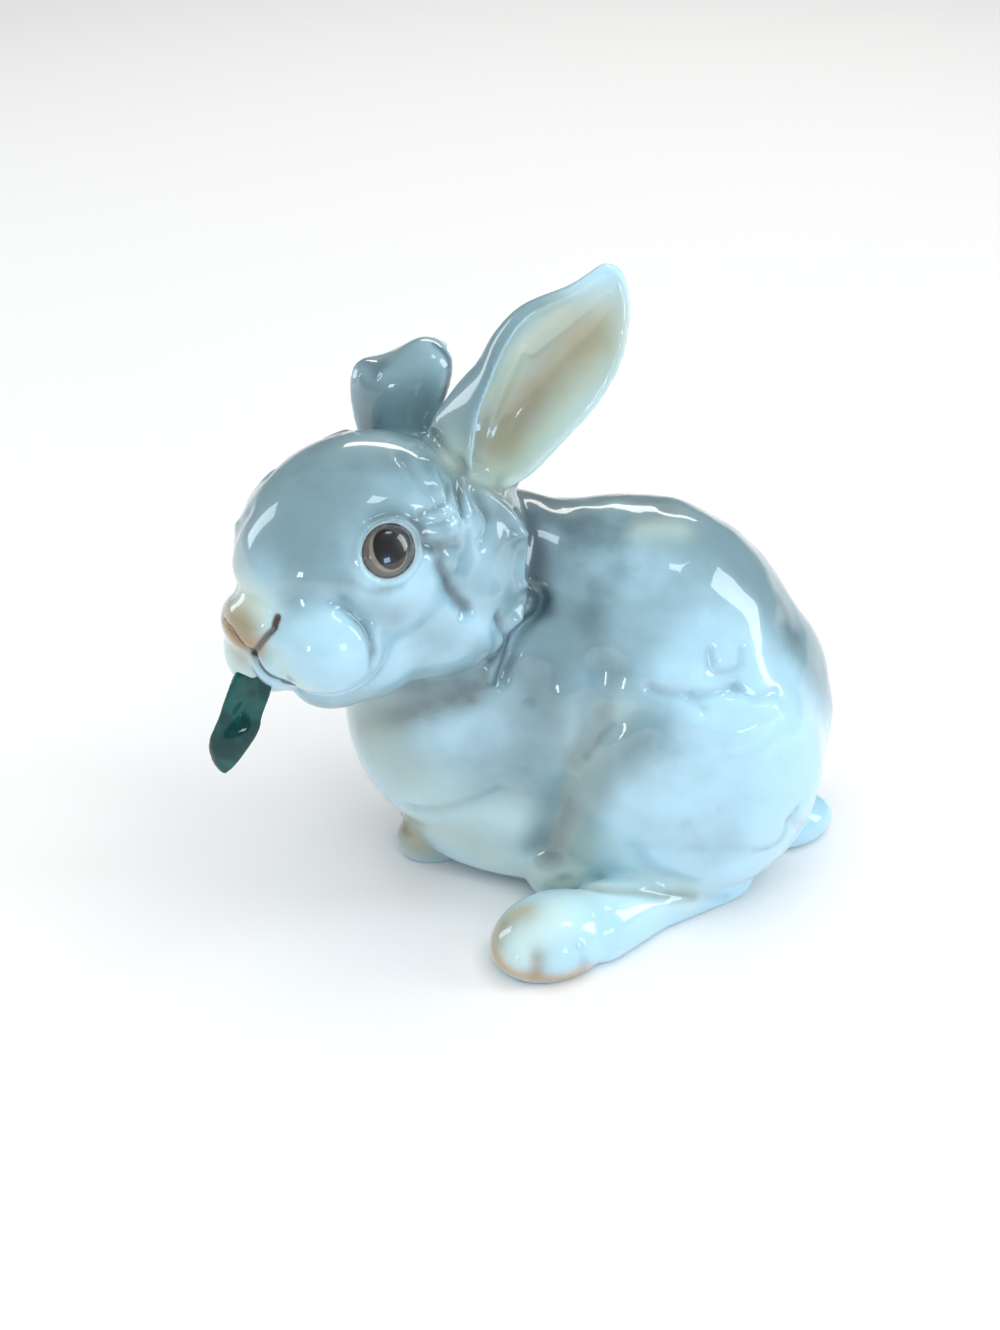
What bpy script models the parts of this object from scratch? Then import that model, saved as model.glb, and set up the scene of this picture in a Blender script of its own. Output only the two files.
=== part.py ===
"""Porcelain rabbit crouching with its head turned and a leaf in its mouth, cast in one piece.

Lengths are millimetres of a figure 150 mm high; HEIGHT sets the real size.
The rabbit faces -X, its left side is -Y and it rests on z = 0.
"""
import math

import bmesh
import bpy
import numpy as np
from mathutils import Euler, Matrix, Vector
from mathutils.bvhtree import BVHTree

HEIGHT = 0.150
UNIT = HEIGHT / 150.0
VOXEL = 1.0
SOFTENING = 10
TRIANGLES = 9200

HEAD_TURN = 52.0
HEAD_AT = (-30, -18.5, 89.2)
HEAD_SIZE = 0.95
MUZZLE_TILT = 14.0
EAR_THICKNESS = 3.2
EYE_RADIUS = 5.6
LEFT_EYE_AT = (18.4, 19.4, 17.1)
RIGHT_EYE_AT = (14.5, -21.5, 16.5)
LEAF_THICKNESS = 2.4

GLAZE = (0.60, 0.70, 0.72, 1.0)

BODY = Matrix.Identity(4)
HEAD = Matrix.LocRotScale(HEAD_AT, Euler((0, 0, math.radians(180 + HEAD_TURN))), (HEAD_SIZE,) * 3)
MUZZLE = HEAD @ Matrix.Rotation(math.radians(MUZZLE_TILT), 4, "X")

for old in list(bpy.data.objects):
    bpy.data.objects.remove(old)


def ball(frame, at, radii, yaw=0.0, pitch=0.0):
    """An egg-shaped mass with half sizes radii, turned by yaw and then tipped nose down by pitch."""
    turn = Matrix.Rotation(math.radians(yaw), 4, "Z") @ Matrix.Rotation(math.radians(pitch), 4, "Y")
    place = frame @ Matrix.Translation(at) @ turn @ Matrix.Diagonal((*radii, 1))
    mass = bmesh.new()
    bmesh.ops.create_uvsphere(mass, u_segments=40, v_segments=24, radius=1, matrix=place)
    return mass


def limb(frame, start, start_radius, end, end_radius):
    """A tapered round-ended limb, the hull of a ball at each end."""
    mass = bmesh.new()
    for at, radius in ((start, start_radius), (end, end_radius)):
        place = frame @ Matrix.Translation(at)
        bmesh.ops.create_uvsphere(mass, u_segments=28, v_segments=16, radius=radius, matrix=place)
    hull = bmesh.ops.convex_hull(mass, input=mass.verts)
    loose = [v for v in hull["geom_interior"] if isinstance(v, bmesh.types.BMVert)]
    bmesh.ops.delete(mass, geom=loose, context="VERTS")
    return mass


def between(rows, count):
    """Rows in even steps on a smooth curve through the given rows."""
    rows = np.array(rows, float)
    step = np.linspace(0, len(rows) - 1, count)
    i = np.clip(step.astype(int), 0, len(rows) - 2)
    f = (step - i)[:, None]
    a, b, c, d = rows[np.maximum(i - 1, 0)], rows[i], rows[i + 1], rows[np.minimum(i + 2, len(rows) - 1)]
    square = 2 * a - 5 * b + 4 * c - d
    cube = 3 * b - a - 3 * c + d
    return 0.5 * (2 * b + (c - a) * f + square * f ** 2 + cube * f ** 3)


def sheet(levels, thickness, count, across):
    """A closed sheet for an ear or the leaf, thinner and rounded at its rims.

    Each level is a row of points across the sheet, from one rim to the other.
    """
    rows = [between(level, across) for level in levels]
    grid = np.stack([between([row[j] for row in rows], count) for j in range(across)], 1)
    over = np.gradient(grid, axis=1)
    out = np.cross(over, np.gradient(grid, axis=0))
    out /= np.linalg.norm(out, axis=2, keepdims=True) + 1e-9
    over /= np.linalg.norm(over, axis=2, keepdims=True) + 1e-9
    width = np.linalg.norm(grid[:, 0] - grid[:, -1], axis=1)
    rounding = 1 - 0.35 * np.linspace(-1, 1, across) ** 6
    mass = bmesh.new()
    rings = []
    for i in range(count):
        half = 0.5 * min(thickness, width[i] + 0.8) * rounding[:, None]
        front = grid[i] + out[i] * half
        back = grid[i] - out[i] * half
        first_rim = grid[i, 0] - over[i, 0] * half[0]
        last_rim = grid[i, -1] + over[i, -1] * half[-1]
        rings.append([mass.verts.new(p) for p in (*front, last_rim, *back[::-1], first_rim)])
    for low, high in zip(rings, rings[1:]):
        size = len(low)
        for j in range(size):
            mass.faces.new((low[j], low[(j + 1) % size], high[(j + 1) % size], high[j]))
    mass.faces.new(rings[0])
    mass.faces.new(rings[-1])
    bmesh.ops.recalc_face_normals(mass, faces=mass.faces)
    return mass


def joined(name, masses):
    """One object holding all the masses, in metres."""
    whole = bmesh.new()
    for mass in masses:
        mesh = bpy.data.meshes.new("mass")
        mass.to_mesh(mesh)
        mass.free()
        whole.from_mesh(mesh)
        bpy.data.meshes.remove(mesh)
    mesh = bpy.data.meshes.new(name)
    whole.to_mesh(mesh)
    whole.free()
    mesh.transform(Matrix.Scale(UNIT, 4))
    body = bpy.data.objects.new(name, mesh)
    bpy.context.collection.objects.link(body)
    return body


def applied(body):
    """Bake the modifiers into the mesh."""
    graph = bpy.context.evaluated_depsgraph_get()
    plain = body.data
    body.data = bpy.data.meshes.new_from_object(body.evaluated_get(graph))
    body.modifiers.clear()
    bpy.data.meshes.remove(plain)


def torso():
    masses = [
        ball(BODY, (24.2, 1, 46), (41.3, 33, 45.5)),
        ball(BODY, (41.8, 0, 38), (30.5, 28.5, 35.5)),
        ball(BODY, (3.8, 1, 50.5), (34.2, 28.5, 41)),
        ball(BODY, (-13.3, -1.6, 42), (27.5, 24.5, 34)),
        ball(BODY, (-12.4, -7.5, 63), (22.8, 21, 25)),
        ball(BODY, (-3, 0, 81.5), (18, 15, 13)),
        ball(BODY, (13, 0, 10), (42, 24, 13)),
    ]
    for side in (-1, 1):
        masses += [
            ball(BODY, (37, side * 16.5, 33.5), (31.3, 19.5, 34.5)),
            ball(BODY, (16.2, side * 18, 24), (13.3, 11.5, 22)),
            limb(BODY, (2, side * 12, 22), 14.5, (-13.3, side * 8, 13.5), 10),
        ]
    return masses


def feet():
    masses = [ball(BODY, (65.5, 2, 4.5), (11.5, 7.5, 6), yaw=28)]
    for side in (-1, 1):
        masses += [
            ball(BODY, (10.5, side * 19.5, 10), (10.5, 9.5, 12)),
            ball(BODY, (7, side * 42.3, 6), (15, 11, 9.5), yaw=side * -27),
            limb(BODY, (17, side * 38, 6), 9.2, (29, side * 28.5, 5), 7.7),
            limb(BODY, (29, side * 28.5, 5), 7.7, (46.5, side * 17.5, 5.5), 8.4),
            ball(BODY, (-20.4, side * 5.3 + 0.8, 5), (9.5, 6.3, 7.3), yaw=side * -12),
        ]
    return masses


def skull():
    masses = [
        ball(HEAD, (7, 0, 6.5), (31, 24, 24.5)),
        ball(HEAD, (-14, 0, -2), (23.5, 25.5, 24)),
    ]
    for side in (-1, 1):
        masses += [
            ball(HEAD, (13, side * 8, -12.5), (18, 12, 12)),
            ball(HEAD, (-8, side * 13, -9), (23, 14, 18)),
        ]
    return masses


def muzzle():
    masses = [ball(MUZZLE, (34.5, -1, -1), (8.5, 9, 8.5))]
    for side in (-1, 1):
        masses += [
            ball(MUZZLE, (27, side * 8.8, -6), (13.5, 11.5, 13)),
            ball(HEAD, (19, side * 5, -14.5), (13, 9, 7.5)),
        ]
    return masses


def ears():
    """The raised left ear, from its trailing rim to its leading one, and the right ear, folded outward."""
    left = [
        [(-5, -10, 97.5), (-8, -6, 94.5), (-20.5, -4, 108.5), (-12, -12, 99.5)],
        [(-4, -15, 104), (-8, -10, 103), (-18, -8, 116), (-11, -19, 109.5)],
        [(1, -14, 106.5), (-6, -6, 107.5), (-16, -7, 118.5), (-10.5, -18, 115)],
        [(8, -13, 114), (-2.5, -3, 113), (-12, -6, 123.5), (-9.5, -16, 121.5)],
        [(13.5, -12, 120), (2, -2, 120.5), (-8, -6, 128), (-7, -13.5, 128)],
        [(17.5, -11, 126), (6.5, -2.5, 128.5), (-4.5, -6.5, 134.5), (-4, -11.5, 134.5)],
        [(20, -10, 132.5), (11.5, -3.5, 134), (1, -6.5, 140), (1, -9.5, 140.5)],
        [(21, -8.5, 140.5), (16, -4.5, 140), (10, -6, 144), (10.5, -7.5, 144.5)],
        [(20, -6.5, 146), (18, -5, 146), (15.5, -5.5, 148), (15.5, -6, 148)],
        [(18, -5.5, 149), (17.5, -5, 149), (17, -5, 149), (17, -5, 149)],
    ]
    right = [
        [(-18.5, 6, 104.5), (-23.5, 2, 106.5), (-29.5, 2, 105.5), (-34, 6, 103.5)],
        [(-18, 5, 111), (-23.5, 1.5, 111.5), (-30, 1.5, 110.5), (-35.5, 5.5, 108.5)],
        [(-16, 5, 117.5), (-21.5, 1.5, 120), (-30, 2, 119), (-36.5, 6, 116)],
        [(-15, 6.5, 122.5), (-20.5, 3.5, 124), (-29.5, 4, 121), (-36, 7.5, 120.5)],
        [(-16.5, 9, 124.5), (-21.5, 8, 126), (-29, 8, 121.5), (-34.5, 9.5, 121.5)],
        [(-17, 13, 123.5), (-21.5, 13.5, 124), (-29, 13.5, 120.5), (-34, 13, 119.5)],
        [(-16.5, 16, 122), (-21.5, 17.5, 120.5), (-28.5, 17.5, 117.5), (-33.5, 16, 116)],
        [(-18, 18, 114), (-22, 19.5, 114), (-28, 19.5, 113), (-32, 18, 112)],
        [(-23, 19.5, 107), (-24, 20, 106.5), (-26, 20, 106.5), (-27, 19.5, 107)],
    ]
    return [
        ball(BODY, (-8, -1, 101), (8, 7, 7)),
        ball(HEAD, (-18, -10, 13), (9, 8, 8)),
        sheet(left, EAR_THICKNESS, 44, 25),
        sheet(right, EAR_THICKNESS, 36, 21),
    ]


def blended(name, masses, voxel, passes):
    """The masses melted into one closed skin."""
    body = joined(name, masses)
    blend = body.modifiers.new("blend", "REMESH")
    blend.mode = "VOXEL"
    blend.voxel_size = voxel * UNIT
    soften = body.modifiers.new("soften", "SMOOTH")
    soften.factor = 0.5
    soften.iterations = passes
    applied(body)
    return body


def softened(masses, voxel, passes):
    """The masses melted into one mass, back in model units, for a further blend."""
    body = blended("core", masses, voxel, passes)
    mass = bmesh.new()
    mass.from_mesh(body.data)
    mass.transform(Matrix.Scale(1 / UNIT, 4))
    bpy.data.objects.remove(body)
    return mass


def leaf():
    levels = [
        [(-49.8, -39.5, 82.5), (-51.8, -40, 82.5), (-53.8, -40.5, 82.5)],
        [(-51, -43.5, 78.5), (-54.4, -43, 78), (-57.8, -43.5, 77.5)],
        [(-52, -45.5, 73.5), (-56.2, -44.5, 72.8), (-60.3, -45, 72)],
        [(-54, -45.5, 68), (-58, -44.5, 67.6), (-62, -45.5, 67.2)],
        [(-55.2, -45.5, 63.5), (-59.8, -44.2, 62.4), (-64.4, -45.5, 61.3)],
        [(-58, -45, 58.5), (-61.1, -44, 57.4), (-64.3, -45, 56.3)],
        [(-61.8, -44.2, 52.8), (-62.3, -44, 52.6), (-62.8, -44.2, 52.6)],
    ]
    return [sheet(levels, LEAF_THICKNESS, 13, 7)]


def strokes():
    """Each stroke: frame, points, width and height, raised where positive; every one is on both sides."""
    pad = [(36, 7.5, 7.5), (33.5, 12, 7.5), (29, 16.5, 4), (27, 18.5, -1), (26.5, 19.5, -10)]
    mouth = [(40.5, 0, -4), (38.5, 3, -9), (37.5, 7, -12), (34, 12, -15), (27, 14.5, -18)]
    ruff = [(-15, 18, 15), (-20, 23, 2), (-17, 24.5, -3.5), (-18, 27, -9), (-6.5, 25, -25)]
    collar = [(-23, 22, 8), (-24, 24, 2), (-21, 26, -4), (-22, 28.5, -10.5), (-9.5, 26.5, -27)]
    return [
        (MUZZLE, [(38, 4.5, 3.5), (41, 2.5, -1.5), (40.5, 0, -4)], 1.4, -0.8),
        (MUZZLE, mouth, 1.4, -0.9),
        (MUZZLE, pad, 2.4, -0.6),
        (HEAD, [(8, 23.5, 10), (1, 25, -3)], 2.4, -1.1),
        (HEAD, ruff, 2.4, 1.0),
        (HEAD, collar, 2.4, -1.5),
        (BODY, [(17, 27, 66), (14, 30, 50), (8.5, 28, 34), (5, 26, 17)], 4.2, -1.8),
        (BODY, [(25, 31, 54), (18, 31, 49), (12, 30, 41)], 2.6, 0.8),
        (BODY, [(-24.5, 18.5, 22.5), (-15.5, 24, 28.5), (-9, 25, 33)], 2.6, -1.2),
        (BODY, [(28, 29, 63), (36, 28, 62), (42, 27, 62), (49, 27, 59)], 2.0, -0.9),
        (BODY, [(38, 24, 70), (41, 26, 65), (47, 26, 61)], 2.0, -0.8),
        (BODY, [(-2, 48, 13), (-3, 50, 6), (-3, 50, 1)], 2.0, -1.2),
        (BODY, [(4, 51, 12), (2, 54, 6), (2, 54, 1)], 2.0, -1.2),
    ]


def carved(body, cuts):
    """Push the skin in and out along the strokes, and raise the eyes and their lids."""
    mesh = body.data
    count = len(mesh.vertices)
    place = np.empty(count * 3)
    mesh.vertices.foreach_get("co", place)
    place = place.reshape(-1, 3) / UNIT
    normal = np.array([v.vector for v in mesh.vertex_normals])
    skin = BVHTree.FromPolygons(place.tolist(), [p.vertices for p in mesh.polygons])
    push = np.zeros(count)
    for frame, points, width, height in cuts:
        for side in (-1, 1):
            path = [skin.find_nearest(frame @ Vector((x, y * side, z)))[0] for x, y, z in points]
            path = between(path, 6 * len(path))
            gap = np.full(count, 1e9)
            for a, b in zip(path, path[1:]):
                run = b - a
                share = np.clip(((place - a) @ run) / (run @ run), 0, 1)
                gap = np.minimum(gap, np.linalg.norm(place - a - share[:, None] * run, axis=1))
            push += height * np.exp(-(gap / width) ** 2)
    for eye in (LEFT_EYE_AT, RIGHT_EYE_AT):
        at = skin.find_nearest(HEAD @ Vector(eye))[0]
        gap = np.linalg.norm(place - np.array(at), axis=1)
        push += 1.6 * np.sqrt(np.clip(1 - (gap / EYE_RADIUS) ** 2, 0, 1))
        push -= 0.7 * np.exp(-((gap - EYE_RADIUS) / 0.8) ** 2)
        push += 0.8 * np.exp(-((gap - EYE_RADIUS - 1.3) / 0.9) ** 2)
    place += normal * push[:, None]
    mesh.vertices.foreach_set("co", (place * UNIT).ravel())
    mesh.update()


def boolean(body, other, kind):
    cut = body.modifiers.new(kind.lower(), "BOOLEAN")
    cut.operation = kind
    cut.solver = "EXACT"
    cut.object = other
    applied(body)
    bpy.data.objects.remove(other)


def ground():
    """A block under the figure, to cut it flat."""
    block = bmesh.new()
    place = Matrix.Translation((0, 0, -50)) @ Matrix.Diagonal((400, 400, 100, 1))
    bmesh.ops.create_cube(block, size=1, matrix=place)
    return joined("ground", [block])


masses = [softened(torso(), 1.5, 30), softened(skull(), 1.5, 14)] + feet() + muzzle() + ears()
rabbit = blended("rabbit", masses, VOXEL, SOFTENING)
carved(rabbit, strokes())
reduce = rabbit.modifiers.new("reduce", "DECIMATE")
reduce.use_collapse_triangulate = True
rabbit.data.calc_loop_triangles()
reduce.ratio = TRIANGLES / len(rabbit.data.loop_triangles)
applied(rabbit)
boolean(rabbit, joined("leaf", leaf()), "UNION")
boolean(rabbit, ground(), "DIFFERENCE")

low = Vector([min(v.co[i] for v in rabbit.data.vertices) for i in range(3)])
high = Vector([max(v.co[i] for v in rabbit.data.vertices) for i in range(3)])
MIDDLE = Vector(((low.x + high.x) / 2, (low.y + high.y) / 2, low.z)) / UNIT
rabbit.data.transform(Matrix.Translation(-MIDDLE * UNIT))

glaze = bpy.data.materials.new("porcelain")
glaze.use_nodes = True
shader = glaze.node_tree.nodes["Principled BSDF"]
shader.inputs["Base Color"].default_value = GLAZE
shader.inputs["Roughness"].default_value = 0.08
shader.inputs["Metallic"].default_value = 0.0
rabbit.data.materials.clear()
rabbit.data.materials.append(glaze)
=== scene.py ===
"""Glazed porcelain rabbit: its modelled skin, carved fur, airbrushed colours and glaze, and its leaf.

Lengths are millimetres in the sculptor's frame, where the rabbit faces -X, its left side is -Y and it
rests on z = 0. MIDDLE is that frame's point under the middle of the figurine, which is the CAD's origin.
"""
import math

import bpy
import numpy as np
from mathutils import Euler, Matrix, Vector, noise
from mathutils.bvhtree import BVHTree


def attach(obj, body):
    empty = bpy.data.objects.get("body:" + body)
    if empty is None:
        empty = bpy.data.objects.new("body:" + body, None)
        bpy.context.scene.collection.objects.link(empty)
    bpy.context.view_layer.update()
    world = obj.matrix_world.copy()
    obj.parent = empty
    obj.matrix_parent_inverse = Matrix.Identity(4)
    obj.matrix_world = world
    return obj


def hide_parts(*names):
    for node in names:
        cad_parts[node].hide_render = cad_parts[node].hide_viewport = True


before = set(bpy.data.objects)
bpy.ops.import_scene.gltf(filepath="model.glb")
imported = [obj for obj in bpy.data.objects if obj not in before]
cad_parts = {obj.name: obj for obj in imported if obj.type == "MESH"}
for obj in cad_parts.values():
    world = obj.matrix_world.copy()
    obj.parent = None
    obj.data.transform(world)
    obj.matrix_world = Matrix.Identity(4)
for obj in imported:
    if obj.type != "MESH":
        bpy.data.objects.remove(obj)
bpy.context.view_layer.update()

MM = 0.001
MIDDLE = Vector((5.4, -1.28, 0))
VOXEL = 0.55
TRIANGLES = 192000

HEAD_TURN = 52.0
HEAD_AT = (-30, -18.5, 89.2)
HEAD_SIZE = 0.95
MUZZLE_TILT = 14.0
EAR_THICKNESS = 2.6
LEAF_THICKNESS = 2.2
MASS_VOXEL = 1.5
LEAF_VOXEL = 0.3

# Smoothing passes for a voxel of 1 mm, and the depth of carving from which the grooves' darkening, the
# glaze pooled in them and their painted shade in one, is at its darkest.
SOFTENING = 10
POOL_AND_GROOVE_SHADE_DEPTH = 1.5

# A side is 1 for the rabbit's left, which the photograph shows, and -1 for its right.
LEFT = (1,)
BOTH = (1, -1)

EYE_AT = {1: Vector((18.4, 19.4, 17.1)), -1: Vector((14.5, -21.5, 16.5))}
EYE_RELIEF = {1: 1.0, -1: 0.4}

# How far an eye's ball stands out, its rim is cut in and its lid rises, and the reach of its colours.
EYE_BULGE = 1.6
EYE_GROOVE = 0.5
LID_RISE = 0.7
EYE_DEPTH = 7

# The fur's lumps: how wide they are and how far they stand out.
FUR_LUMPS = ((10, 0.5), (4.5, 0.14))

# The photograph's view: its height above level in degrees, its distance in metres and its lens in mm.
VIEW_ELEVATION = 33
VIEW_DISTANCE = 0.453
VIEW_AIM = Vector((-4.85, 0, 50.5))
VIEW_LENS = 53.58

# Spaces to place things in. The head's has +X forward and +Y to its left, and the muzzle's is rolled in it.
BODY = Matrix.Identity(4)
HEAD = Matrix.LocRotScale(HEAD_AT, Euler((0, 0, math.radians(180 + HEAD_TURN))), (HEAD_SIZE,) * 3)
MUZZLE = HEAD @ Matrix.Rotation(math.radians(MUZZLE_TILT), 4, "X")

# Paths of strokes and sprays in the head's space,
RUFF = [
    (-15, 18, 15), (-19, 21.5, 8), (-20, 23, 2), (-17, 24.5, -3.5), (-18, 27, -9), (-10, 27, -16),
    (-6.5, 25, -25),
]
COLLAR = [
    (-23, 22, 8), (-24, 24, 2), (-20.5, 26, -4), (-22, 28.5, -10.5), (-14, 28, -17), (-9.5, 26.5, -27),
]
EAR_GROOVE = [(-11, 13.5, 23.5), (-7.5, 16.5, 20), (-6, 18, 18), (-5, 19, 15.5)]
EAR_CURL = [(-4, 14.5, 24), (-4.5, 15.5, 21), (-1.5, 18.5, 20.5), (2, 19, 20), (8, 19, 21)]
EAR_FOLD = [(-13, 14, 20), (-12, 18, 17), (-12, 20.5, 12), (-9, 22, 8)]
CROWN_FOLD = [(-14, 4, 26), (-11.5, 8, 24.5), (-10, 12, 23)]
LID_FOLD = [(10, 19, 20.5), (4.5, 21, 18), (-1, 21, 17.5)]
CHEEK_TUFT = [(-8, 26.5, -9), (-11, 26.5, -16), (-7.5, 25, -20.5)]

# in the muzzle's, with the nose's two arms,
NEAR_ARM = [(37.5, 5.5, 3.5), (38.5, 5, 1.5), (40, 3, -0.5), (40, -1.5, -4.5)]
FAR_ARM = [(40.5, -8.5, 2.5), (41.5, -5.5, 1.5), (41.5, -3.5, -1), (40, -1.5, -4.5)]
MOUTH = [
    (40, -1.5, -4.5), (40.5, 1, -8), (39.5, 3.5, -10.5), (37.5, 6, -13), (36, 10, -14.2), (32, 13.5, -14.5),
    (27.5, 16, -14.5),
]

# and in the body's.
FOOT_CREASE = [(9.5, -29, 10.5), (17.5, -36.5, 15), (29, -34.5, 12), (39.5, -31, 8), (47, -26.5, 3.5)]
BELLY_EDGE = [(-24, -14, 18), (-14, -19, 14.5), (-7, -21, 10.5), (5.5, -27.5, 6.5)]
# The path of the shadow that the jaw casts on the throat and chest, painted on with mist and slate.
UNDER_JAW_SHADOW = [(-36, -15, 44.5), (-30, -20, 49.5), (-21, -25.5, 56.5), (-8, -28.5, 64.5)]


# Sculptor's tools

def add_ball(space, at, radii, yaw=0.0, pitch=0.0):
    """An egg-shaped mass with half sizes radii, turned by yaw and then tipped nose down by pitch."""
    bpy.ops.mesh.primitive_uv_sphere_add(segments=48, ring_count=28, radius=1)
    mass = bpy.context.object
    turn = Matrix.Rotation(math.radians(yaw), 4, "Z") @ Matrix.Rotation(math.radians(pitch), 4, "Y")
    mass.data.transform(space @ Matrix.Translation(at) @ turn @ Matrix.Diagonal((*radii, 1)))
    return mass


def add_limb(space, start, start_radius, end, end_radius):
    """A tapered round-ended limb, the hull of a ball at each end."""
    pair = []
    for at, radius in ((start, start_radius), (end, end_radius)):
        pair.append(add_ball(space, at, (radius,) * 3))
    limb = join("limb", pair)
    bpy.ops.object.mode_set(mode="EDIT")
    bpy.ops.mesh.select_all(action="SELECT")
    bpy.ops.mesh.convex_hull()
    bpy.ops.object.mode_set(mode="OBJECT")
    return limb


def join(name, masses):
    """One object out of several."""
    bpy.ops.object.select_all(action="DESELECT")
    for mass in masses:
        mass.select_set(True)
    bpy.context.view_layer.objects.active = masses[0]
    bpy.ops.object.join()
    whole = bpy.context.object
    whole.name = name
    return whole


def apply_modifier(piece, kind, **settings):
    bpy.ops.object.select_all(action="DESELECT")
    piece.select_set(True)
    bpy.context.view_layer.objects.active = piece
    modifier = piece.modifiers.new(kind.lower(), kind)
    for name, value in settings.items():
        setattr(modifier, name, value)
    bpy.ops.object.modifier_apply(modifier=modifier.name)


def melt(name, masses, voxel, passes):
    """The masses as one closed skin, smoothed by the given passes."""
    whole = join(name, masses)
    apply_modifier(whole, "REMESH", mode="VOXEL", voxel_size=voxel)
    apply_modifier(whole, "SMOOTH", factor=0.5, iterations=passes)
    return whole


def between(rows, count):
    """Rows in even steps on a smooth curve through the given rows."""
    rows = np.array(rows, float)
    step = np.linspace(0, len(rows) - 1, count)
    i = np.clip(step.astype(int), 0, len(rows) - 2)
    f = (step - i)[:, None]
    a, b, c, d = rows[np.maximum(i - 1, 0)], rows[i], rows[i + 1], rows[np.minimum(i + 2, len(rows) - 1)]
    square = 2 * a - 5 * b + 4 * c - d
    cube = 3 * b - a - 3 * c + d
    return 0.5 * (2 * b + (c - a) * f + square * f ** 2 + cube * f ** 3)


def add_sheet(name, levels, thickness, count, across):
    """A closed sheet for an ear or the leaf, thinner and rounded at its rims.

    Each level is a row of points across the sheet, from one rim to the other.
    """
    rows = [between(level, across) for level in levels]
    grid = np.stack([between([row[j] for row in rows], count) for j in range(across)], 1)
    over = np.gradient(grid, axis=1)
    out = np.cross(over, np.gradient(grid, axis=0))
    out /= np.linalg.norm(out, axis=2, keepdims=True) + 1e-9
    share = np.linspace(-1, 1, across)
    width = np.linalg.norm(grid[:, 0] - grid[:, -1], axis=1)
    half = 0.5 * np.minimum(thickness, width + 0.8)[:, None] * (1 - 0.35 * share ** 6)
    over /= np.linalg.norm(over, axis=2, keepdims=True) + 1e-9
    points, faces = [], []
    size = 2 * across + 2
    for i in range(count):
        front = grid[i] + out[i] * half[i][:, None]
        back = grid[i] - out[i] * half[i][:, None]
        first_rim = grid[i, 0] - over[i, 0] * half[i, 0]
        last_rim = grid[i, -1] + over[i, -1] * half[i, -1]
        points += [*front, last_rim, *back[::-1], first_rim]
    for i in range(count - 1):
        for j in range(size):
            a, b = size * i + j, size * i + (j + 1) % size
            faces.append([a, b, b + size, a + size])
    faces += [list(range(size)), list(range(size * (count - 1), size * count))]
    mesh = bpy.data.meshes.new(name)
    mesh.from_pydata(points, [], faces)
    sheet = bpy.data.objects.new(name, mesh)
    bpy.context.collection.objects.link(sheet)
    bpy.ops.object.select_all(action="DESELECT")
    sheet.select_set(True)
    bpy.context.view_layer.objects.active = sheet
    bpy.ops.object.mode_set(mode="EDIT")
    bpy.ops.mesh.select_all(action="SELECT")
    bpy.ops.mesh.normals_make_consistent(inside=False)
    bpy.ops.object.mode_set(mode="OBJECT")
    return sheet


# Masses of the figure

def torso():
    masses = [
        add_ball(BODY, (24.2, 1, 46), (41.3, 33, 45.5)),
        add_ball(BODY, (41.8, 0, 38), (30.5, 28.5, 35.5)),
        add_ball(BODY, (3.8, 1, 50.5), (34.2, 28.5, 41)),
        add_ball(BODY, (-13.3, -1.6, 42), (27.5, 24.5, 34)),
        add_ball(BODY, (-12.4, -7.5, 63), (22.8, 21, 25)),
        add_ball(BODY, (-3, 0, 81.5), (18, 15, 13)),
        add_ball(BODY, (13, 0, 10), (42, 24, 13)),
    ]
    for side in (-1, 1):
        masses += [
            add_ball(BODY, (37, side * 16.5, 33.5), (31.3, 19.5, 34.5)),
            add_ball(BODY, (16.2, side * 18, 24), (13.3, 11.5, 22)),
            add_limb(BODY, (2, side * 12, 22), 14.5, (-13.3, side * 8, 13.5), 10),
        ]
    return melt("torso", masses, MASS_VOXEL, 30)


def skull():
    masses = [
        add_ball(HEAD, (7, 0, 6.5), (31, 24, 24.5)),
        add_ball(HEAD, (-14, 0, -2), (23.5, 25.5, 24)),
    ]
    for side in (-1, 1):
        masses += [
            add_ball(HEAD, (13, side * 8, -12.5), (18, 12, 12)),
            add_ball(HEAD, (-8, side * 13, -9), (23, 14, 18)),
        ]
    return melt("skull", masses, MASS_VOXEL, 14)


def feet_and_tail():
    masses = [add_ball(BODY, (65.5, 2, 4.5), (11.5, 7.5, 6), yaw=28)]
    for side in (-1, 1):
        masses += [
            add_ball(BODY, (10.5, side * 19.5, 10), (10.5, 9.5, 12)),
            add_ball(BODY, (7, side * 42.3, 6), (15, 11, 9.5), yaw=side * -27),
            add_limb(BODY, (17, side * 38, 6), 9.2, (29, side * 28.5, 5), 7.7),
            add_limb(BODY, (29, side * 28.5, 5), 7.7, (46.5, side * 17.5, 5.5), 8.4),
            add_ball(BODY, (-20.4, side * 5.3 + 0.8, 5), (9.5, 6.3, 7.3), yaw=side * -12),
        ]
    return masses


def muzzle():
    """The nose, the upper lip under it, the two pads, of which the right one hangs lower, and the jaw."""
    masses = [
        add_ball(MUZZLE, (33.5, -3, 0), (8.5, 11, 8.5)),
        add_ball(MUZZLE, (35, 0.5, -8), (6.5, 6.5, 6.5)),
        add_ball(MUZZLE, (27, 8.8, -5.5), (13.5, 11.5, 12.5)),
        add_ball(MUZZLE, (27, -8.8, -8.5), (13, 10.5, 11)),
    ]
    for side in (-1, 1):
        masses.append(add_ball(HEAD, (19.5, side * 5.5, -16), (13.5, 10, 8)))
    return masses


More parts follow.
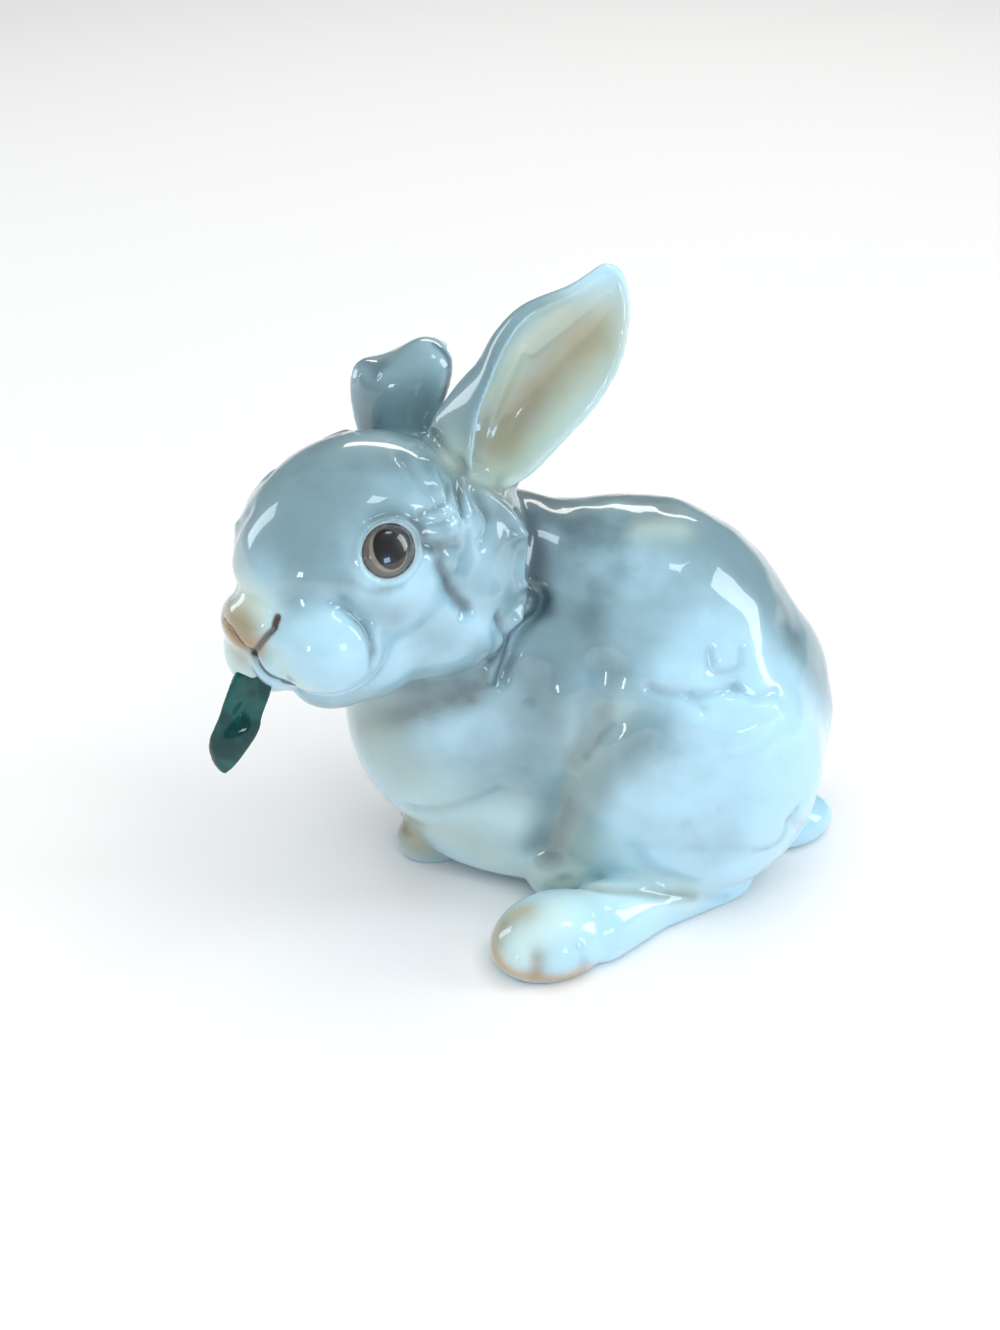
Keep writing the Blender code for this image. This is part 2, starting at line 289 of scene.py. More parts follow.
def ears():
    """The raised left ear, from its trailing rim to its leading one, and the right ear, folded outward."""
    left = [
        [(-5, -10, 97.5), (-8, -6, 94.5), (-20.5, -4, 108.5), (-12, -12, 99.5)],
        [(-4, -15, 104), (-8, -10, 103), (-18, -8, 116), (-11, -19, 109.5)],
        [(1, -14, 106.5), (-6, -6, 107.5), (-16, -7, 118.5), (-10.5, -18, 115)],
        [(8, -13, 114), (-2.5, -3, 113), (-12, -6, 123.5), (-9.5, -16, 121.5)],
        [(13.5, -12, 120), (2, -2, 120.5), (-8, -6, 128), (-7, -13.5, 128)],
        [(17.5, -11, 126), (6.5, -2.5, 128.5), (-4.5, -6.5, 134.5), (-4, -11.5, 134.5)],
        [(20, -10, 132.5), (11.5, -3.5, 134), (1, -6.5, 140), (1, -9.5, 140.5)],
        [(21, -8.5, 140.5), (16, -4.5, 140), (10, -6, 144), (10.5, -7.5, 144.5)],
        [(20, -6.5, 146), (18, -5, 146), (15.5, -5.5, 148), (15.5, -6, 148)],
        [(18, -5.5, 149), (17.5, -5, 149), (17, -5, 149), (17, -5, 149)],
    ]
    right = [
        [(-18.5, 6, 104.5), (-23.5, 2, 106.5), (-29.5, 2, 105.5), (-34, 6, 103.5)],
        [(-18, 5, 111), (-23.5, 1.5, 111.5), (-30, 1.5, 110.5), (-35.5, 5.5, 108.5)],
        [(-16, 5, 117.5), (-21.5, 1.5, 120), (-30, 2, 119), (-36.5, 6, 116)],
        [(-15, 6.5, 122.5), (-20.5, 3.5, 124), (-29.5, 4, 121), (-36, 7.5, 120.5)],
        [(-16.5, 9, 124.5), (-21.5, 8, 126), (-29, 8, 121.5), (-34.5, 9.5, 121.5)],
        [(-17, 13, 123.5), (-21.5, 13.5, 124), (-29, 13.5, 120.5), (-34, 13, 119.5)],
        [(-16.5, 16, 122), (-21.5, 17.5, 120.5), (-28.5, 17.5, 117.5), (-33.5, 16, 116)],
        [(-18, 18, 114), (-22, 19.5, 114), (-28, 19.5, 113), (-32, 18, 112)],
        [(-23, 19.5, 107), (-24, 20, 106.5), (-26, 20, 106.5), (-27, 19.5, 107)],
    ]
    return [
        add_ball(BODY, (-8, -1, 101), (8, 7, 7)),
        add_ball(HEAD, (-18, -10, 13), (9, 8, 8)),
        add_sheet("left_ear", left, EAR_THICKNESS, 70, 41),
        add_sheet("right_ear", right, EAR_THICKNESS, 60, 33),
    ]


# Carving

class Clay:
    """The skin's points as arrays, with the tools that carve and spray it."""

    def __init__(self, piece):
        self.mesh = piece.data
        self.count = len(self.mesh.vertices)
        place = np.empty(self.count * 3)
        self.mesh.vertices.foreach_get("co", place)
        self.place = place.reshape(-1, 3)
        out = np.empty(self.count * 3, np.float32)
        self.mesh.vertex_normals.foreach_get("vector", out)
        self.out = out.reshape(-1, 3).astype(float)
        polygons = [p.vertices for p in self.mesh.polygons]
        self.skin = BVHTree.FromPolygons(self.place.tolist(), polygons)

    def gap(self, path, reach):
        """Each point's distance from a path, for the points nearer than reach, and their indices."""
        low, high = path.min(0) - reach, path.max(0) + reach
        near = np.nonzero(((self.place > low) & (self.place < high)).all(1))[0]
        place = self.place[near]
        gap = np.full(len(near), 1e9)
        for a, b in zip(path, path[1:]):
            run = b - a
            share = np.clip(((place - a) @ run) / max(run @ run, 1e-9), 0, 1)
            gap = np.minimum(gap, np.linalg.norm(place - a - share[:, None] * run, axis=1))
        return near, gap

    def path(self, space, points, side=1):
        """A smooth path on the skin near the given points, mirrored to the right side if side is -1."""
        on_skin = [self.skin.find_nearest(space @ Vector((x, y * side, z)))[0] for x, y, z in points]
        if len(on_skin) == 1:
            on_skin = on_skin * 2
        return between(on_skin, 6 * len(on_skin))

    def soft_line(self, space, points, width, side=1, facing=None):
        """A mask along a path: 1 on it, fading out over width, on the skin that faces the given way."""
        path = self.path(space, points, side)
        near, gap = self.gap(path, 3 * width)
        amount = np.exp(-(gap / width) ** 2)
        if facing is not None:
            toward = self.out[near] @ np.array(Vector(facing).normalized())
            amount = amount * np.clip(toward * 2 + 0.5, 0, 1)
        mask = np.zeros(self.count)
        mask[near] = amount
        return mask

    def push(self, amount):
        self.place += self.out * amount[:, None]

    def store(self):
        self.mesh.vertices.foreach_set("co", self.place.ravel())
        self.mesh.update()


def strokes():
    """Each stroke: space, points on the left side, width, height (raised where positive) and sides."""
    pad_edge = [
        (36, 7.5, 7.5), (33.5, 12, 7.5), (29, 16.5, 4), (27, 18.5, -1), (27, 20, -5.5), (26.5, 19.5, -10),
    ]
    return [
        (MUZZLE, NEAR_ARM, 0.9, -0.7, LEFT),
        (MUZZLE, FAR_ARM, 0.8, -0.6, LEFT),
        (MUZZLE, MOUTH, 0.8, -0.8, LEFT),
        (MUZZLE, MOUTH[2:], 0.8, -0.8, (-1,)),
        (MUZZLE, pad_edge[:4], 2.2, -0.6, BOTH),
        (MUZZLE, pad_edge[2:], 1.3, -0.8, BOTH),
        (HEAD, [(7.5, 23.5, 11), (4.5, 23.5, 4), (1, 25, -3.5)], 2.0, -1.3, BOTH),
        (HEAD, RUFF, 1.9, 1.5, BOTH),
        (HEAD, COLLAR, 1.5, -2.3, BOTH),
        (BODY, [(2, -5.5, 129.5), (8.5, -6.5, 135.5), (16.5, -7, 144)], 1.1, 0.5, LEFT),
        (BODY, [(-0.5, -6, 130), (-5, -5, 118.5), (-8.5, -9.5, 108)], 1.1, 0.5, LEFT),
        (BODY, [(-34, 4, 121), (-33, 3.5, 113), (-31.5, 4, 106)], 1.2, 0.7, LEFT),
        (BODY, [(-31, 3, 121), (-30, 2, 113), (-29, 2, 106)], 1.2, -0.6, LEFT),
        (HEAD, [(-3.5, 12, 25.5), (-0.5, 17, 22.5), (-1, 20.5, 16.5)], 1.5, 0.8, BOTH),
        (HEAD, EAR_GROOVE, 1.2, -1.1, BOTH),
        (HEAD, EAR_CURL, 1.0, -0.6, BOTH),
        (HEAD, LID_FOLD, 1.0, -0.5, BOTH),
        (HEAD, CROWN_FOLD, 1.4, -0.5, BOTH),
        (HEAD, [(-17, 24, 6), (-22, 23.5, 5)], 1.0, 0.7, BOTH),
        (HEAD, [(-16, 26, -5), (-21, 25, -6)], 1.0, 0.6, BOTH),
        (HEAD, [(-14, 27, -12), (-20, 27, -13)], 1.2, 0.9, BOTH),
        (HEAD, [(-10.5, 13, 22), (-8.5, 16.5, 19), (-8, 19, 15)], 1.3, 0.8, BOTH),
        (HEAD, EAR_FOLD, 1.3, -0.9, BOTH),
        (HEAD, [(2, 10, 29), (3, 15, 26), (2.5, 19, 21)], 1.6, -0.6, BOTH),
        (HEAD, [(12, 21.5, 17), (7, 22, 14), (0.5, 22.5, 12)], 1.6, -0.5, BOTH),
        (HEAD, [(10, 22.5, 12), (3, 23.5, 8)], 1.6, 0.5, BOTH),
        (HEAD, [(18.5, 15, 23), (13, 17, 23.5), (9, 20, 20)], 1.5, -0.5, BOTH),
        (HEAD, [(28, 12, 19.5), (29.5, 14, 14.5), (29.5, 15, 9)], 2.2, -0.5, BOTH),
        (HEAD, [(26.5, 16.5, 14.5), (25, 18.5, 11.5)], 1.1, 0.5, BOTH),
        (HEAD, CHEEK_TUFT, 1.2, -1.3, BOTH),
        (HEAD, [(-3.5, 26.5, -11), (-5.5, 26, -17), (-3, 25, -21)], 1.4, 0.7, BOTH),
        (BODY, [(17, -27, 66), (14, -30, 50), (8.5, -28, 34), (5, -26, 17)], 4.2, -2.0, BOTH),
        (BODY, [(25, -31, 54), (18, -31, 49), (12, -30, 41)], 2.6, 1.1, BOTH),
        (BODY, [(19, -30, 55), (14, -30, 47)], 1.5, -0.6, BOTH),
        (BODY, [(-24.5, -19, 23.5), (-18.5, -22, 25.5), (-11.5, -24, 29), (-5, -24, 32.5)],
         2.2, -0.9, BOTH),
        (BODY, [(8, -28, 60), (10, -30, 51)], 3, 0.7, BOTH),
        (BODY, [(-3, -26, 66), (1.5, -27, 60)], 2.5, -0.6, BOTH),
        (BODY, [(27.5, -29, 63.5), (31, -29, 62), (38.5, -28.5, 61), (45.5, -26.5, 61.5)], 1.5, -0.9, BOTH),
        (BODY, [(39.5, -24, 69.5), (41, -25.5, 65.5), (46, -23.5, 65), (47, -21, 68)], 1.4, -0.8, BOTH),
        (BODY, [(36, -29, 61), (38.5, -30, 58.5)], 1.2, -0.6, BOTH),
        (BODY, [(45.5, -26.5, 61.5), (50.5, -26, 59), (55, -23.5, 58.5)], 1.4, -0.7, BOTH),
        (BODY, [(36, -31, 55.5), (46.5, -30, 53), (54, -26, 56)], 2.6, 0.8, BOTH),
        (BODY, [(30, -30, 66), (36, -28, 66)], 2, 0.6, BOTH),
        (BODY, [(3, -52, 9), (3, -54, 5)], 2.4, -0.7, BOTH),
        (BODY, [(12, -50, 10), (13.5, -51.5, 5)], 1.5, -0.6, BOTH),
        (BODY, [(-1, -52.5, 8)], 3, 0.7, BOTH),
        (BODY, FOOT_CREASE, 1.5, -0.7, BOTH),
        (BODY, [(24.5, -33, 23), (29, -33, 17), (38, -32, 12)], 2.5, -0.7, BOTH),
        (BODY, [(61, -24, 17.5), (63, -24.5, 22), (59.5, -29, 28.5)], 1.6, -0.8, BOTH),
        (BODY, [(38, -35, 25), (44.5, -34.5, 24.5), (49.5, -33, 22.5)], 2, -0.4, BOTH),
    ]


def sprays():
    """The airbrush, for each colour: space, points on the left side, width, strength and sides.

    A last value, where there is one, is the way that the skin has to face to take the colour.
    """
    in_ear = (0.4, -0.9, 0.1)
    ear_wall = (-1, -0.5, 0.3)
    ear_back = (-0.3, 1, 0.2)
    return {
        "mist": [
            (HEAD, [(27, 5, 22), (15, 7, 28), (2, 6, 29.5), (-10, 5, 28)], 11, 0.85, BOTH),
            (HEAD, [(30, 9, 17), (33, 8, 10)], 5, 0.4, BOTH),
            (HEAD, [(29, 14, 13), (26, 17.5, 7), (20, 20, 3)], 4, 0.4, BOTH),
            (HEAD, [(16, 21.5, 0), (8, 24, -6)], 5, 0.25, BOTH),
            (HEAD, [(4, 24, 6), (-6, 26, -2), (-14, 26, -8)], 6, 0.5, BOTH),
            (HEAD, [(17, 19, 24), (8, 21, 17), (2, 22, 10)], 6, 0.6, BOTH),
            (HEAD, [(-8, 14, 24), (-12, 18, 16), (-15, 22, 5)], 7, 0.6, BOTH),
            # Painted shade on the jaw's underside.
            (HEAD, [(28, 8, -20), (18, 14, -20), (6, 20, -20), (-8, 22, -24)], 5.5, 0.7, BOTH),
            (BODY, [(-26, 2, 104), (-26, 2, 122), (-26, 10, 126), (-26, 17, 116)], 14, 0.72, LEFT),
            (BODY, [(-18, -8, 106), (-12, -9, 118), (-6, -9, 130), (4, -8, 140)], 7, 0.95, LEFT, ear_wall),
            (BODY, [(-6, 0, 104), (0, 2, 118), (8, 0, 131), (15, -4, 142)], 12, 0.9, LEFT, ear_back),
            (BODY, [(0, -6, 94), (4, -18, 84), (6, -26, 72), (4, -28, 60)], 9, 0.85, BOTH),
            (BODY, [(8, -2, 94), (22, -2, 93), (36, -2, 90), (50, -3, 82)], 12, 0.75, BOTH),
            (BODY, [(54, -3, 78), (60, -4, 68), (64, -4, 52)], 12, 0.8, BOTH),
            (BODY, [(16, -22, 78), (26, -20, 78), (40, -14, 82)], 9, 0.45, BOTH),
            (BODY, [(6, -29, 56), (2, -28, 44), (-2, -26, 32)], 8, 0.5, BOTH),
            (BODY, [(24, -32, 52), (17, -31, 44), (12, -29, 32), (8, -27, 18)], 7.5, 0.8, BOTH),
            # Painted shadow of the jaw on the throat.
            (BODY, [(-36, -16, 58), (-28, -22, 60), (-18, -26, 63), (-8, -27, 68)], 7, 0.8, BOTH),
            (BODY, [(-34, -14, 44), (-26, -22, 36), (-16, -24, 30)], 8, 0.45, BOTH),
            (BODY, [(-27, -22, 42), (-18, -25, 42), (-10, -25, 40)], 7, 0.3, BOTH),
            (BODY, [(28, -35, 32.5), (37, -35.5, 27.5), (44, -34, 24)], 6, 0.2, BOTH),
            (BODY, [(-40, 4, 56), (-38, 2, 40), (-32, 0, 24)], 12, 0.4, LEFT),
            (BODY, [(-27, -7, 9), (-20, -9, 7)], 6, 0.75, BOTH),
            (BODY, [(10, -31, 20), (0, -27, 18), (-12, -22, 16)], 5, 0.35, BOTH),
            (BODY, [(60, -20, 26), (63, -14, 18), (58, -24, 14)], 3.5, 0.35, BOTH),
            # Painted shadow under the jaw.
            (BODY, UNDER_JAW_SHADOW, 5, 0.8, BOTH),
            (BODY, [(-34, 8.5, 122), (-33, 2, 116), (-31, 3, 106)], 5, 0.6, LEFT),
            (BODY, [(6, -10, 92), (14, -8, 94)], 8, 0.5, LEFT),
            (HEAD, [(7.5, 23, -9), (-3, 26, -15.5), (-11, 25, -26)], 5, 0.35, BOTH),
            (BODY, [(22, -27.5, 66), (26, -29, 60)], 6, 0.35, BOTH),
        ],
        "slate": [
            # Dark slate in the recess behind the ruff: its paint, and painted shade under the ruff's edge.
            (HEAD, COLLAR, 1.6, 0.95, BOTH),
            (HEAD, [(-15, 16, 19), (-18, 18, 15), (-19.5, 21, 8)], 1.3, 0.5, BOTH),
            # Painted shadow under the jaw, darkest along the jaw's edge.
            (BODY, UNDER_JAW_SHADOW, 3.2, 0.65, BOTH),
            (HEAD, EAR_GROOVE, 1.5, 0.75, BOTH),
            (HEAD, EAR_CURL[1:], 1.0, 0.5, BOTH),
            (HEAD, LID_FOLD, 1.0, 0.4, BOTH),
            (HEAD, CROWN_FOLD, 2.4, 0.5, BOTH),
            (HEAD, [(10, 20.5, 18.5), (9.5, 21.5, 15), (6.5, 22, 13.5)], 1.5, 0.5, BOTH),
            (BODY, [(-5.5, -15.5, 103.5), (-3.5, -16.5, 101.5), (-1, -12, 96)], 2.4, 0.85, BOTH),
            (BODY, [(2.5, -10.5, 89.5), (3, -13.5, 86), (2.5, -16, 82.5), (3, -17, 79.5)], 2.8, 0.6, BOTH),
            (BODY, [(52.5, -32, 22), (57, -29.5, 22), (59.5, -29.5, 28), (60, -27, 31)], 1.4, 0.5, LEFT),
            (BODY, [(6, -16, 84), (12, -12, 87)], 5, 0.3, LEFT),
            # Painted shadow of the jaw on the throat.
            (BODY, [(-33, -20, 60.5), (-24, -25, 62), (-14, -28, 65)], 3, 0.4, BOTH),
            (HEAD, CHEEK_TUFT, 1.3, 0.5, BOTH),
            (HEAD, [(-5, 8, 27), (-2, 13, 25), (1, 16, 24)], 2.5, 0.35, BOTH),
            (HEAD, EAR_FOLD[:3], 1.6, 0.45, BOTH),
            (BODY, [(1, -6.5, 93), (3, -12, 87.5), (3, -18, 81), (5.5, -20, 77)], 2.6, 0.7, BOTH),
            (BODY, [(2.5, -2, 93), (17, 6, 90), (30, 4, 90)], 6, 0.45, BOTH),
            (BODY, [(10, -6.5, 89.5)], 5, 0.35, LEFT),
            (BODY, [(15.5, -21, 77.5), (16.5, -18, 82), (22, -15.5, 85)], 4.5, 0.35, BOTH),
            (BODY, [(13, -22, 76), (16.5, -25.5, 71), (21, -27.5, 68)], 3.5, 0.2, BOTH),
            (BODY, [(17.5, -30, 58), (14, -30.5, 50), (11.5, -30, 44)], 3.5, 0.5, BOTH),
            (BODY, [(25.5, -32, 50.5), (17.5, -31.5, 43.5), (12, -29, 32.5), (8.5, -27, 18)],
             4, 0.15, BOTH),
            (BODY, [(42, -35.5, 36.5)], 2, 0.3, LEFT),
            (BODY, [(35.5, -35.5, 33)], 2.5, 0.2, BOTH),
            (BODY, [(19.5, -29.5, 17)], 2, 0.15, LEFT),
            (BODY, [(57, -6, 71.5), (60.5, -9.5, 63.5)], 3.5, 0.45, LEFT),
            (BODY, [(5, -27, 36.5), (1.5, -25.5, 25.5)], 4.5, 0.12, BOTH),
            # Painted shadow under the jaw on the chest.
            (BODY, [(-32.5, -18, 48.5), (-24, -23.5, 51.5)], 3, 0.2, BOTH),
            (BODY, [(-11, -28, 59.5)], 1.3, 0.45, LEFT),
            (BODY, [(-24.5, -23, 33.5)], 3, 0.2, BOTH),
            (BODY, [(-0.5, -24, 72.5), (5.5, -26, 64.5)], 4, 0.3, BOTH),
            (HEAD, [(20.5, 3, 28), (14, 5.5, 29.5), (8, 7.5, 29.5)], 4.5, 0.25, BOTH),
            (HEAD, [(-5.5, 1.5, 28.5), (2.5, 9.5, 28.5), (7, 15, 25.5)], 3.5, 0.3, BOTH),
            (HEAD, [(18.5, 15, 23), (14, 16.5, 23), (11, 18.5, 21.5), (9.5, 21, 18)], 1.6, 0.4, BOTH),
            (HEAD, [(10, 22, 15), (0.5, 22.5, 12)], 2.0, 0.5, BOTH),
            (MUZZLE, [(31, 15.5, 5), (28, 17.5, 1), (26.5, 19.5, -4), (26.5, 19.5, -8)], 1.1, 0.55, BOTH),
            (HEAD, [(27.5, 16.5, 12.5), (23.5, 19.5, 10), (18, 22, 9.5)], 1.6, 0.45, BOTH),
            (HEAD, [(7, 23, 10), (3.5, 22.5, 2), (0.5, 24, -3)], 1.8, 0.8, BOTH),
            (HEAD, [(-16, 21, 11), (-18.5, 24.5, 3)], 3, 0.35, BOTH),
            (HEAD, [(-7, 12.5, 26.5), (-7.5, 16.5, 20), (-5.5, 20, 15)], 3, 0.3, BOTH),
            (BODY, [(-18.5, 7, 126.5), (-16, 5.5, 125), (-15.5, 4, 121), (-17, 3.5, 116)], 1.4, 0.85, LEFT),
            (BODY, [(-34, 8.5, 122.5), (-30, 6, 121.5)], 2.5, 0.5, LEFT),
            (BODY, [(-31, 3, 122), (-31, 2, 108)], 4.5, 0.35, LEFT),
            (BODY, [(-20, 3, 105), (-28, 3, 105)], 4, 0.5, LEFT),
            (BODY, [(-20, -5, 108), (-16, -9, 112)], 4, 0.45, LEFT, ear_wall),
            (BODY, [(-19, 0, 110), (-16, -3, 112)], 3, 0.5, LEFT),
        ],
        "cream": [
            (HEAD, [(37, -5, 7), (38.5, 0.5, 6)], 4, 0.6, LEFT),
            (MUZZLE, [(39.5, -10.5, -5), (39.5, -9, -10)], 4, 0.6, LEFT),
            (MUZZLE, [(38, 5, -6), (36, 9, -10)], 3, 0.3, LEFT),
            (BODY, [(-4, -11, 108), (3, -10, 113), (9, -8, 121), (14, -7, 129), (18, -7, 138)],
             7, 0.8, LEFT, in_ear),
            (BODY, [(-10, -12, 112), (-5, -7, 121), (0, -7, 130), (8, -6, 138)], 5, 0.8, LEFT, in_ear),
            (BODY, [(26, -8, 92.5), (34, -6, 91)], 3.5, 0.4, LEFT),
            (BODY, [(-36, -12, 50), (-28, -20, 38), (-14, -24, 26), (2, -27, 22), (10, -30, 18)],
             11, 0.35, BOTH),
            (BODY, [(-8, -46, 6), (-4, -50, 8), (2, -50, 12), (8, -44, 14)], 6, 0.55, BOTH),
            (BODY, BELLY_EDGE, 6, 0.5, BOTH),
            (BODY, FOOT_CREASE[:4], 4, 0.5, BOTH),
            (BODY, [(16, -36, 60), (14, -31, 50), (10, -29, 36)], 5, 0.3, BOTH),
        ],
        "ochre": [
            (BODY, [(-5, -5.5, 110.5), (1.5, -4, 119), (7.5, -4.5, 127.5), (13.5, -5.5, 134)],
             7, 0.85, LEFT, in_ear),
            (MUZZLE, [(41.5, -1, -1), (41.5, -4.5, 0.5), (40, -8, 3)], 3.4, 0.95, LEFT),
            (MUZZLE, [(39.5, -10, -2), (40, -7, -6)], 3, 0.6, LEFT),
            (MUZZLE, [(41, -5, 3), (41.5, -1, 2), (40.5, -2.5, 4)], 3.8, 0.9, LEFT),
            (BODY, [(-28, -6, 9), (-24, -8, 7)], 5, 0.75, BOTH),
            (BODY, [(-8, -47, 6), (-7, -46, 9), (-4, -44.5, 12), (0, -43.5, 14)], 4.5, 0.85, BOTH),
        ],
        "umber": [
            (BODY, [(-2, -5, 115), (2, -4.5, 121)], 2.5, 0.1, LEFT, in_ear),
            (MUZZLE, [(41.5, -6, 0.5), (41.5, -3.5, -1.5), (41, 0, -3)], 2.2, 0.45, LEFT),
            (MUZZLE, [(41, -4, 2), (41.5, -1, 1.5)], 2.8, 0.3, LEFT),
            (BODY, [(-28, -6, 10), (-26, -5, 11.5), (-22, -4, 12)], 2.4, 0.4, BOTH),
            (BODY, [(5, -25, 30.5), (7, -24.5, 22), (7.5, -26.5, 15)], 6, 0.2, BOTH),
            (BODY, BELLY_EDGE, 5, 0.12, BOTH),
            (BODY, FOOT_CREASE[1:4], 1.6, 0.3, BOTH),
            (BODY, [(-6, -49, 6.5), (-5.5, -48, 9.5), (-3.5, -46, 12)], 2.2, 0.3, BOTH),
            (BODY, [(3, -52, 8), (3, -53.5, 4)], 1.4, 0.25, BOTH),
        ],
        "rust": [
            (BODY, [(-6, -49, 6), (-3, -52, 4.5), (1, -53.5, 3.5), (6.5, -52.5, 2.5), (14, -50, 2)],
             2.6, 0.85, BOTH),
            (BODY, [(3.2, -52, 8), (3, -53.5, 3)], 2.2, 0.35, BOTH),
            (MUZZLE, [(41.5, -6, 1), (41.5, -3.5, -1), (41, 0, -3)], 2.6, 0.55, LEFT),
        ],
    }


class Eye:
    """An eye's place on the head: its middle, and the ways across it, up it and out of it."""

    across_radius, up_radius = 5.7, 5.1

    def __init__(self, side):
        mirror = Vector((1, side, 1))
        self.middle = HEAD @ EYE_AT[side]
        turn = HEAD.to_3x3().normalized()
        out = Vector((0.3, 0.85, 0.44)).normalized()
        across = (Vector((1, 0, 0)) - out.x * out).normalized()
        self.out = turn @ (out * mirror)
        self.across = turn @ (across * mirror)
        self.up = turn @ (across.cross(out) * mirror)

    def spread(self, place):
        """Each point's distance from the middle as a share of the rim's, or 9 where the eye isn't near."""
        off = place - np.array(self.middle)
        across = off @ np.array(self.across) / self.across_radius
        up = off @ np.array(self.up) / self.up_radius
        return np.where(np.abs(off @ np.array(self.out)) < EYE_DEPTH, np.hypot(across, up), 9)


def carve(clay):
    """How far each point is raised by the strokes and by the eyes' balls, grooves and lids."""
    amount = np.zeros(clay.count)
    for space, points, width, height, sides in strokes():
        for side in sides:
            amount += height * clay.soft_line(space, points, width, side)
    for side, relief in EYE_RELIEF.items():
        r = Eye(side).spread(clay.place)
        amount += EYE_BULGE * relief * np.sqrt(np.clip(1 - r ** 2, 0, 1))
        amount -= EYE_GROOVE * relief * np.exp(-((r - 1.0) / 0.12) ** 2)
        amount += LID_RISE * relief * np.exp(-((r - 1.2) / 0.13) ** 2)
    return amount


def lumps(clay):
    """The soft unevenness of modelled fur, on the body and the back of the head."""
    rise = np.zeros(clay.count)
    for size, height in FUR_LUMPS:
        rise += height * np.array([noise.noise(Vector(p) / size) for p in clay.place])
    fur = np.clip((clay.place[:, 0] + 32) / 20, 0, 1) * np.clip((clay.place[:, 2] - 12) / 12, 0, 1)
    fur *= np.clip((112 - clay.place[:, 2]) / 8, 0, 1)
    return rise * fur


def paint(piece):
    """Store each colour's airbrush mask on the skin's points."""
    clay = Clay(piece)
    for colour, lines in sprays().items():
        bare = np.ones(clay.count)
        for space, points, width, strength, sides, *facing in lines:
            for side in sides:
                bare *= 1 - strength * clay.soft_line(space, points, width, side, *facing)
        store(piece, colour, 1 - bare)
    # The carved grooves darkened by how deep they are cut: glaze pooled in them, and painted shade.
    store(piece, "pool_and_groove_shade", np.clip(-carve(clay) / POOL_AND_GROOVE_SHADE_DEPTH, 0, 1))


def store(piece, name, values):
    layer = piece.data.attributes.new(name, "FLOAT", "POINT")
    layer.data.foreach_set("value", values.astype(np.float32))


def build_rabbit():
    masses = [torso(), skull()] + feet_and_tail() + muzzle() + ears()
    rabbit = melt("rabbit_skin", masses, VOXEL, round(SOFTENING / VOXEL ** 2))
    clay = Clay(rabbit)
    clay.push(carve(clay) + lumps(clay))
    clay.store()
    cut_flat(rabbit)
    rabbit.data.calc_loop_triangles()
    ratio = min(1, TRIANGLES / len(rabbit.data.loop_triangles))
    apply_modifier(rabbit, "DECIMATE", ratio=ratio)
    paint(rabbit)
    return rabbit


def cut_flat(piece):
    """Cut off what reaches below the floor."""
    bpy.ops.object.select_all(action="DESELECT")
    piece.select_set(True)
    bpy.context.view_layer.objects.active = piece
    bpy.ops.object.mode_set(mode="EDIT")
    bpy.ops.mesh.select_all(action="SELECT")
    bpy.ops.mesh.bisect(plane_co=(0, 0, 0), plane_no=(0, 0, -1), use_fill=True, clear_outer=True)
    bpy.ops.object.mode_set(mode="OBJECT")


def place_in_cad_frame(piece):
    """From the sculptor's millimetres to the CAD's metres, shaded smooth."""
    piece.data.transform(Matrix.Scale(MM, 4) @ Matrix.Translation(-MIDDLE))
    for polygon in piece.data.polygons:
        polygon.use_smooth = True


def build_leaf():
    levels = [
        [(-49.8, -39.5, 82.5), (-51.8, -41, 82.5), (-53.8, -40.5, 82.5)],
        [(-51, -43.5, 78.5), (-54.4, -44.6, 78), (-57.8, -43.5, 77.5)],
        [(-52, -45.5, 73.5), (-56.2, -43.6, 72.8), (-60.3, -45, 72)],
        [(-54, -45.5, 68), (-58, -43.2, 67.6), (-62, -45.5, 67.2)],
        [(-55.2, -45.5, 63.5), (-59.8, -45.8, 62.4), (-64.4, -45.5, 61.3)],
        [(-58, -45, 58.5), (-61.1, -45.4, 57.4), (-64.3, -45, 56.3)],
        [(-61.8, -44.2, 52.8), (-62.3, -44, 52.6), (-62.8, -44.2, 52.6)],
    ]
    leaf = add_sheet("leaf", levels, LEAF_THICKNESS, 60, 17)
    apply_modifier(leaf, "REMESH", mode="VOXEL", voxel_size=LEAF_VOXEL)
    apply_modifier(leaf, "SMOOTH", factor=0.5, iterations=4)
    return leaf


rabbit = build_rabbit()
leaf = build_leaf()
for piece in (rabbit, leaf):
    place_in_cad_frame(piece)
    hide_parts("rabbit")
    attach(piece, "root")


# Glaze

